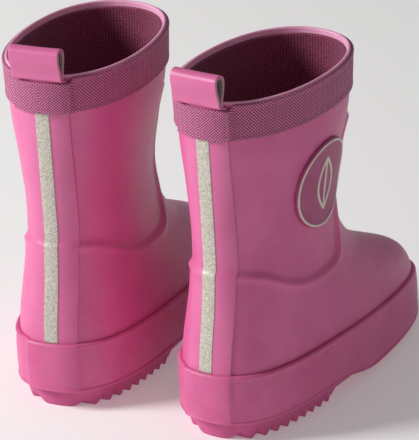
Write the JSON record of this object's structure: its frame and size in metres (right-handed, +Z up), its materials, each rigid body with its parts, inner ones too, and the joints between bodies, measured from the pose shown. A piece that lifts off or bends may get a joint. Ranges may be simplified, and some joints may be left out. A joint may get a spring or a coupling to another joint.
{
  "type": "rubber rain boots",
  "caption": "Pair of child's rubber rain boots with woven top binding, knit lining, back strip with reflective tape, pull loops and toothed soles.",
  "frame": {"origin": "on the ground, at the middle of the pair", "axes": "+X from the left boot towards the right boot, +Y from the heels towards the toes, +Z up"},
  "size_m": [0.1876, 0.1952, 0.206],
  "materials": {
    "pink_rubber": "moulded natural rubber, satin",
    "sole_rubber": "moulded natural rubber, matte",
    "foam_filling": "cellular rubber filling",
    "fibre_board": "pressed fibre board",
    "footbed_felt": "needled felt over foam",
    "woven_ply": "plain woven cotton",
    "stiffener": "thermoplastic stiffener sheet",
    "knit_lining": "melange cotton knit",
    "reflective_tape": "glass-bead reflective tape",
    "loop_webbing": "woven polyester webbing",
    "binding_tape": "ribbed woven polyester tape",
    "badge_rubber": "moulded rubber badge",
    "badge_trim": "raised printed rubber relief"
  },
  "bodies": {
    "left_boot": {"left_outsole": "sole_rubber", "left_midsole_filler": "foam_filling", "left_insole_board": "fibre_board", "left_foxing_band": "pink_rubber", "left_upper_shell": "pink_rubber", "left_ankle_overlay": "pink_rubber", "left_fabric_ply": "woven_ply", "left_toe_puff": "stiffener", "left_heel_counter": "stiffener", "left_lining": "knit_lining", "left_back_strip": "pink_rubber", "left_reflective_tape": "reflective_tape", "left_loop_tails": "loop_webbing", "left_binding_tape": "binding_tape", "left_badge_disc": "badge_rubber", "left_badge_ring": "badge_trim", "left_badge_emblem": "badge_trim"},
    "right_boot": {"right_outsole": "sole_rubber", "right_midsole_filler": "foam_filling", "right_insole_board": "fibre_board", "right_foxing_band": "pink_rubber", "right_upper_shell": "pink_rubber", "right_ankle_overlay": "pink_rubber", "right_fabric_ply": "woven_ply", "right_toe_puff": "stiffener", "right_heel_counter": "stiffener", "right_lining": "knit_lining", "right_back_strip": "pink_rubber", "right_reflective_tape": "reflective_tape", "right_loop_tails": "loop_webbing", "right_binding_tape": "binding_tape", "right_badge_disc": "badge_rubber", "right_badge_ring": "badge_trim", "right_badge_emblem": "badge_trim"},
    "left_loop": {"left_pull_loop": "pink_rubber", "left_loop_webbing": "loop_webbing"},
    "right_loop": {"right_pull_loop": "pink_rubber", "right_loop_webbing": "loop_webbing"},
    "left_footbed": {"left_footbed": "footbed_felt"},
    "right_footbed": {"right_footbed": "footbed_felt"}
  },
  "joints": [
    {"name": "right_boot_lift", "type": "slide", "parent": "left_boot", "child": "right_boot", "axis": [0, 0, 1], "range_m": [0, 0.22]},
    {"name": "left_pull_loop_flex", "type": "hinge", "parent": "left_boot", "child": "left_loop", "pos_m": [-0.04824, -0.08684, 0.1898], "axis": [0.9954, 0.0958, 0], "range_deg": [-15, 70], "stiffness_Nm_per_rad": 0.01},
    {"name": "left_footbed_lift", "type": "hinge", "parent": "left_boot", "child": "left_footbed", "pos_m": [-0.06517, 0.08895, 0.0203], "axis": [-0.9954, -0.0958, 0], "range_deg": [0, 6]},
    {"name": "right_pull_loop_flex", "type": "hinge", "parent": "right_boot", "child": "right_loop", "pos_m": [0.04824, -0.08684, 0.1898], "axis": [0.9954, -0.0958, 0], "range_deg": [-15, 70], "stiffness_Nm_per_rad": 0.01},
    {"name": "right_footbed_lift", "type": "hinge", "parent": "right_boot", "child": "right_footbed", "pos_m": [0.06517, 0.08895, 0.0203], "axis": [-0.9954, 0.0958, 0], "range_deg": [0, 6]}
  ]
}
